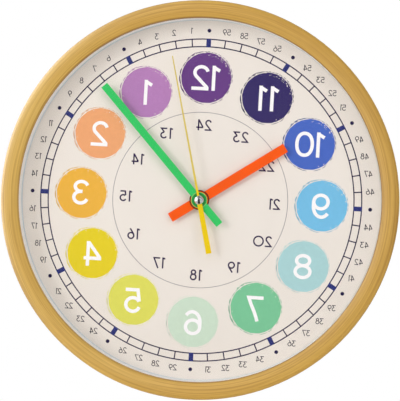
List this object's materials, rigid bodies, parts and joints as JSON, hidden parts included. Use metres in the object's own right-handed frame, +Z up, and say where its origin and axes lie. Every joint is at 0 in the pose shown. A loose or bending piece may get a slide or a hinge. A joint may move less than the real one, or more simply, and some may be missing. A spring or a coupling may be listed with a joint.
{
  "type": "teaching wall clock",
  "caption": "Round wall clock with a wood-look frame, flat glass, a mirrored teaching dial and a geared quartz movement that drives three coloured hands anticlockwise.",
  "frame": {"origin": "on the axis of the hands, in the plane of the rear rim that lies against the wall", "axes": "+Y into the wall, so the dial faces -Y; +Z up, towards twelve; +X to the right as the dial is seen from the front"},
  "size_m": [0.3, 0.0442, 0.3],
  "materials": {
    "frame_wood": "satin lacquer over light wood grain",
    "lens_glass": "clear polished",
    "rim_plastic": "pale blue-grey satin",
    "dial_card": "printed, fine grain",
    "back_plastic": "moulded, fine texture",
    "screw_steel": "zinc plated",
    "hanger_steel": "zinc plated",
    "gasket_rubber": "matte",
    "brass": "turned",
    "case_plastic": "moulded, fine texture",
    "gear_plastic": "moulded acetal",
    "board": "solder mask",
    "chip_resin": "cast resin",
    "copper": "enamelled wire",
    "core_iron": "stamped",
    "contact_metal": "nickel plated",
    "battery_sleeve": "plain sleeve",
    "magnet": "sintered",
    "arbor_steel": "ground",
    "knob_plastic": "moulded",
    "orange_paint": "satin paint on stamped aluminium",
    "green_paint": "satin paint on stamped aluminium",
    "yellow_paint": "satin paint on stamped aluminium",
    "cap_chrome": "polished"
  },
  "bodies": {
    "case": {"frame": "frame_wood", "lens": "lens_glass", "inner_rim": "rim_plastic", "dial": "dial_card", "back_plate": "back_plastic", "back_screws": "screw_steel", "hanger": "hanger_steel", "hanger_screws": "screw_steel", "gasket": "gasket_rubber", "dial_washer": "brass", "bushing_nut": "brass", "front_case": "case_plastic", "middle_plate": "gear_plastic", "rear_cover": "case_plastic", "circuit_board": "board", "clock_chip": "chip_resin", "crystal": "arbor_steel", "coil_bobbin": "gear_plastic", "coil_winding": "copper", "coil_core": "core_iron", "stator": "core_iron", "positive_contact": "contact_metal", "negative_contact": "contact_metal", "battery": "battery_sleeve"},
    "second": {"second_hand": "yellow_paint", "second_hand_bush": "brass", "second_hand_cap": "cap_chrome", "second_arbor": "arbor_steel", "second_wheel": "gear_plastic"},
    "rotor": {"rotor_magnet": "magnet", "rotor_pinion": "gear_plastic"},
    "intermediate": {"intermediate_wheel": "gear_plastic"},
    "third": {"third_wheel": "gear_plastic"},
    "centre": {"centre_wheel": "gear_plastic"},
    "minute": {"minute_hand": "green_paint", "minute_arbor": "gear_plastic"},
    "minute_work": {"minute_wheel": "gear_plastic"},
    "hour": {"hour_hand": "orange_paint", "hour_wheel": "gear_plastic"},
    "knob": {"setting_knob": "knob_plastic"}
  },
  "joints": [
    {"name": "second_spin", "type": "hinge", "parent": "case", "child": "second", "pos_m": [0, -0.01, 0], "axis": [0, -1, 0], "continuous": true},
    {"name": "rotor_spin", "type": "hinge", "parent": "case", "child": "rotor", "pos_m": [0.01042, -0.01, 0.01312], "axis": [0, -1, 0], "continuous": true},
    {"name": "intermediate_spin", "type": "hinge", "parent": "case", "child": "intermediate", "pos_m": [0.0049, -0.01, 0.00849], "axis": [0, -1, 0], "continuous": true},
    {"name": "third_spin", "type": "hinge", "parent": "case", "child": "third", "pos_m": [-0.00952, -0.01, 0], "axis": [0, -1, 0], "continuous": true},
    {"name": "centre_spin", "type": "hinge", "parent": "case", "child": "centre", "pos_m": [0, -0.01, 0], "axis": [0, -1, 0], "continuous": true},
    {"name": "minute_spin", "type": "hinge", "parent": "case", "child": "minute", "pos_m": [0, -0.01, 0], "axis": [0, -1, 0], "continuous": true},
    {"name": "minute_work_spin", "type": "hinge", "parent": "case", "child": "minute_work", "pos_m": [0.0096, -0.01, 0], "axis": [0, -1, 0], "continuous": true},
    {"name": "hour_spin", "type": "hinge", "parent": "case", "child": "hour", "pos_m": [0, -0.01, 0], "axis": [0, -1, 0], "continuous": true},
    {"name": "knob_spin", "type": "hinge", "parent": "case", "child": "knob", "pos_m": [0.0192, -0.01, 0], "axis": [0, -1, 0], "continuous": true}
  ],
  "couplings": [
    {"joint": "rotor_spin", "follows": "second_spin", "ratio": 30},
    {"joint": "intermediate_spin", "follows": "second_spin", "ratio": -6},
    {"joint": "third_spin", "follows": "second_spin", "ratio": -0.13333},
    {"joint": "centre_spin", "follows": "second_spin", "ratio": 0.016667},
    {"joint": "minute_work_spin", "follows": "minute_spin", "ratio": -0.33333},
    {"joint": "hour_spin", "follows": "minute_spin", "ratio": 0.083333},
    {"joint": "knob_spin", "follows": "minute_spin", "ratio": 1}
  ]
}
